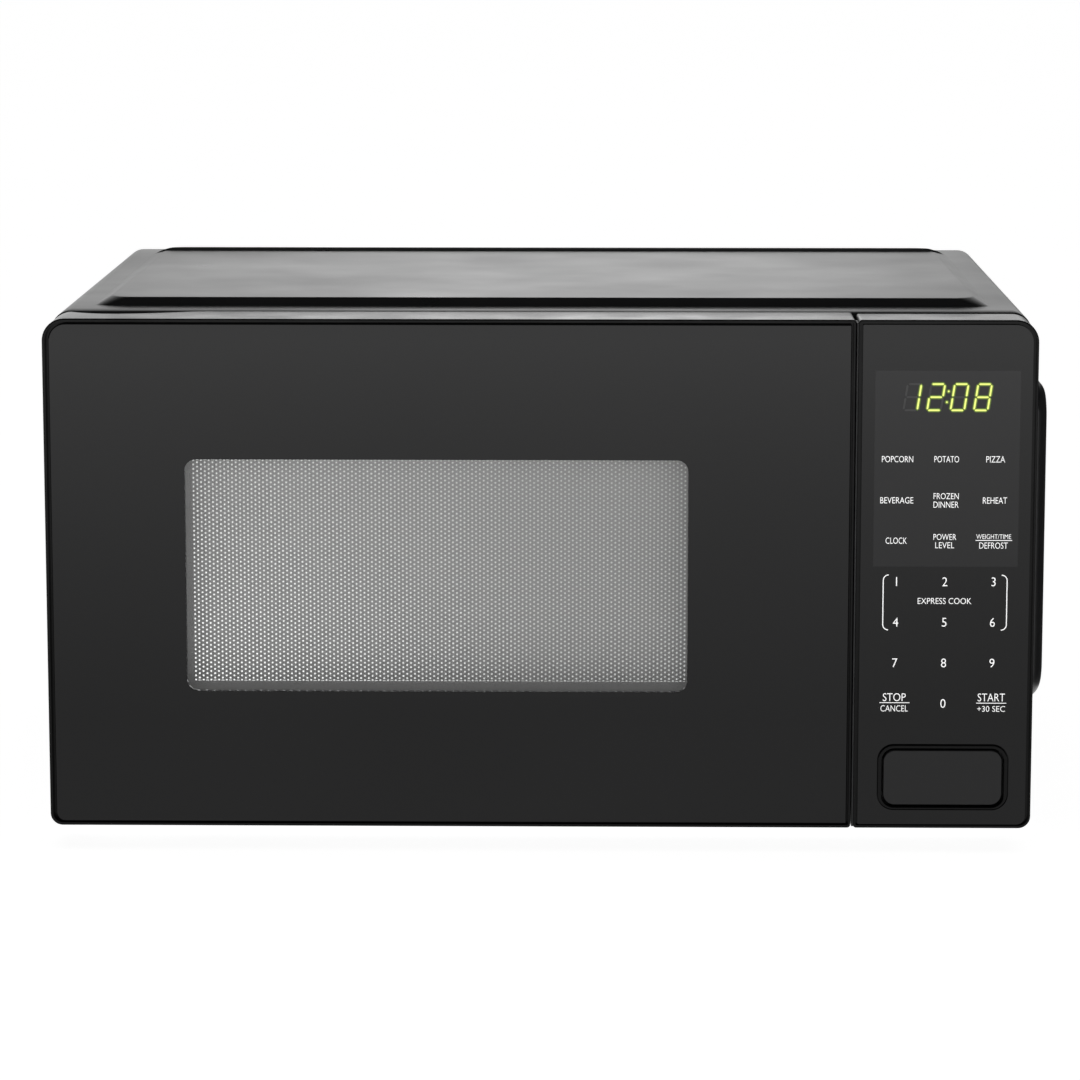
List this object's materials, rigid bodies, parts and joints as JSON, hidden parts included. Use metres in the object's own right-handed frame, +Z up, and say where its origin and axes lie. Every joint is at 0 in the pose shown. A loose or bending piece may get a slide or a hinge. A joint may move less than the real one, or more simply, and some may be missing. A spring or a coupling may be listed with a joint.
{
  "type": "microwave oven",
  "caption": "Countertop microwave oven with a side-hinged windowed door, push-button latch, digital control panel and glass turntable.",
  "frame": {"origin": "middle of the overall box, on the surface the feet stand on", "axes": "+X right as the user faces the door, +Y towards the back, +Z up"},
  "size_m": [0.449, 0.34, 0.2436],
  "materials": {
    "cabinet_paint": "satin black powder coat",
    "chassis_steel": "bare galvanised sheet",
    "cavity_enamel": "semi-gloss light grey enamel",
    "foot_plastic": "matte",
    "bezel_plastic": "polished black",
    "front_glass": "black-backed clear glass",
    "button_plastic": "satin black",
    "screen_paint": "dark grey paint on perforated sheet",
    "inner_plastic": "fine grain",
    "clear_film": "clear film",
    "mechanism_plastic": "natural acetal",
    "switch_plastic": "moulded",
    "circuit_board": "lacquered laminate",
    "mica_sheet": "pressed mica",
    "copper_winding": "enamelled wire and varnish",
    "capacitor_can": "drawn can",
    "lamp_glass": "clear bulb",
    "white_ceramic": "matte",
    "spring_steel": "bright wire",
    "tray_glass": "tempered clear glass"
  },
  "bodies": {
    "cabinet": {"outer_cabinet": "cabinet_paint", "rear_panel": "cabinet_paint", "base_plate": "chassis_steel", "foot_front_left": "foot_plastic", "foot_front_right": "foot_plastic", "foot_rear_left": "foot_plastic", "foot_rear_right": "foot_plastic", "front_plate": "cavity_enamel", "oven_cavity": "cavity_enamel", "hinge_upper": "chassis_steel", "hinge_lower": "chassis_steel", "control_panel_frame": "bezel_plastic", "control_panel_glass": "front_glass", "keypad_membrane": "switch_plastic", "display_module": "inner_plastic", "control_board": "circuit_board", "interlock_bracket": "inner_plastic", "microswitch_upper": "switch_plastic", "microswitch_middle": "switch_plastic", "microswitch_lower": "switch_plastic", "magnetron": "chassis_steel", "waveguide": "chassis_steel", "waveguide_cover": "mica_sheet", "transformer_core": "chassis_steel", "transformer_windings": "copper_winding", "hv_capacitor": "capacitor_can", "capacitor_clamp": "chassis_steel", "hv_diode": "capacitor_can", "fan_motor": "chassis_steel", "fan_duct": "inner_plastic", "lamp_socket": "white_ceramic", "cavity_lamp": "lamp_glass", "cavity_thermostat": "white_ceramic", "magnetron_thermostat": "white_ceramic", "line_filter_board": "circuit_board", "cord_gland": "inner_plastic", "case_screws": "chassis_steel", "turntable_motor": "capacitor_can", "button_spring": "spring_steel"},
    "door": {"door_frame": "bezel_plastic", "door_glass": "front_glass", "door_screen": "screen_paint", "door_choke_cover": "inner_plastic", "door_inner_film": "clear_film", "latch_spring": "spring_steel"},
    "latch": {"door_latch": "mechanism_plastic"},
    "button": {"open_button": "button_plastic"},
    "lever": {"release_lever": "mechanism_plastic"},
    "turntable_drive": {"drive_shaft": "chassis_steel", "drive_coupler": "mechanism_plastic"},
    "tray": {"glass_tray": "tray_glass"},
    "roller_ring": {"roller_ring": "mechanism_plastic"},
    "roller_1": {"roller_1": "mechanism_plastic"},
    "roller_2": {"roller_2": "mechanism_plastic"},
    "roller_3": {"roller_3": "mechanism_plastic"},
    "fan": {"fan_blade": "mechanism_plastic"},
    "plunger_upper": {"switch_plunger_upper": "mechanism_plastic"},
    "plunger_middle": {"switch_plunger_middle": "mechanism_plastic"},
    "plunger_lower": {"switch_plunger_lower": "mechanism_plastic"}
  },
  "joints": [
    {"name": "door_hinge", "type": "hinge", "parent": "cabinet", "child": "door", "pos_m": [-0.21725, -0.151, 0.126], "axis": [0, 0, -1], "range_deg": [0, 100]},
    {"name": "door_latch_lift", "type": "slide", "parent": "door", "child": "latch", "axis": [0, 0, 1], "range_m": [0, 0.004], "stiffness_N_per_m": 300, "springref_m": -0.003, "deforming": ["latch_spring"]},
    {"name": "open_button_press", "type": "slide", "parent": "cabinet", "child": "button", "axis": [0, 1, 0], "range_m": [0, 0.0055], "stiffness_N_per_m": 400, "springref_m": -0.003, "deforming": ["button_spring"]},
    {"name": "release_lever_turn", "type": "hinge", "parent": "cabinet", "child": "lever", "pos_m": [0.15325, -0.129, 0.056], "axis": [1, 0, 0], "range_deg": [0, 13.5]},
    {"name": "turntable_spin", "type": "hinge", "parent": "cabinet", "child": "turntable_drive", "pos_m": [-0.04875, 0.008, 0.036], "axis": [0, 0, 1], "continuous": true},
    {"name": "glass_tray_lift", "type": "slide", "parent": "turntable_drive", "child": "tray", "axis": [0, 0, 1], "range_m": [0, 0.03]},
    {"name": "roller_ring_spin", "type": "hinge", "parent": "cabinet", "child": "roller_ring", "pos_m": [-0.04875, 0.008, 0.0373], "axis": [0, 0, 1], "continuous": true},
    {"name": "roller_1_spin", "type": "hinge", "parent": "roller_ring", "child": "roller_1", "pos_m": [-0.04875, 0.10075, 0.0373], "axis": [0, 1, 0], "continuous": true},
    {"name": "roller_2_spin", "type": "hinge", "parent": "roller_ring", "child": "roller_2", "pos_m": [-0.12907, -0.03837, 0.0373], "axis": [-0.866, -0.5, 0], "continuous": true},
    {"name": "roller_3_spin", "type": "hinge", "parent": "roller_ring", "child": "roller_3", "pos_m": [0.03157, -0.03837, 0.0373], "axis": [0.866, -0.5, 0], "continuous": true},
    {"name": "fan_spin", "type": "hinge", "parent": "cabinet", "child": "fan", "pos_m": [0.16025, 0.138, 0.074], "axis": [0, 1, 0], "continuous": true},
    {"name": "switch_plunger_upper_press", "type": "slide", "parent": "cabinet", "child": "plunger_upper", "axis": [0, 1, 0], "range_m": [0, 0.001], "stiffness_N_per_m": 80, "springref_m": -0.0005},
    {"name": "switch_plunger_middle_press", "type": "slide", "parent": "cabinet", "child": "plunger_middle", "axis": [0, 1, 0], "range_m": [0, 0.001], "stiffness_N_per_m": 80, "springref_m": -0.0005},
    {"name": "switch_plunger_lower_press", "type": "slide", "parent": "cabinet", "child": "plunger_lower", "axis": [0, 1, 0], "range_m": [0, 0.001], "stiffness_N_per_m": 80, "springref_m": -0.0005}
  ],
  "couplings": [
    {"joint": "release_lever_turn", "follows": "open_button_press", "rad_per_m": 41.5},
    {"joint": "door_latch_lift", "follows": "open_button_press", "ratio": 0.727},
    {"joint": "roller_ring_spin", "follows": "turntable_spin", "ratio": 0.5},
    {"joint": "roller_1_spin", "follows": "turntable_spin", "ratio": -6.625},
    {"joint": "roller_2_spin", "follows": "turntable_spin", "ratio": -6.625},
    {"joint": "roller_3_spin", "follows": "turntable_spin", "ratio": -6.625}
  ]
}
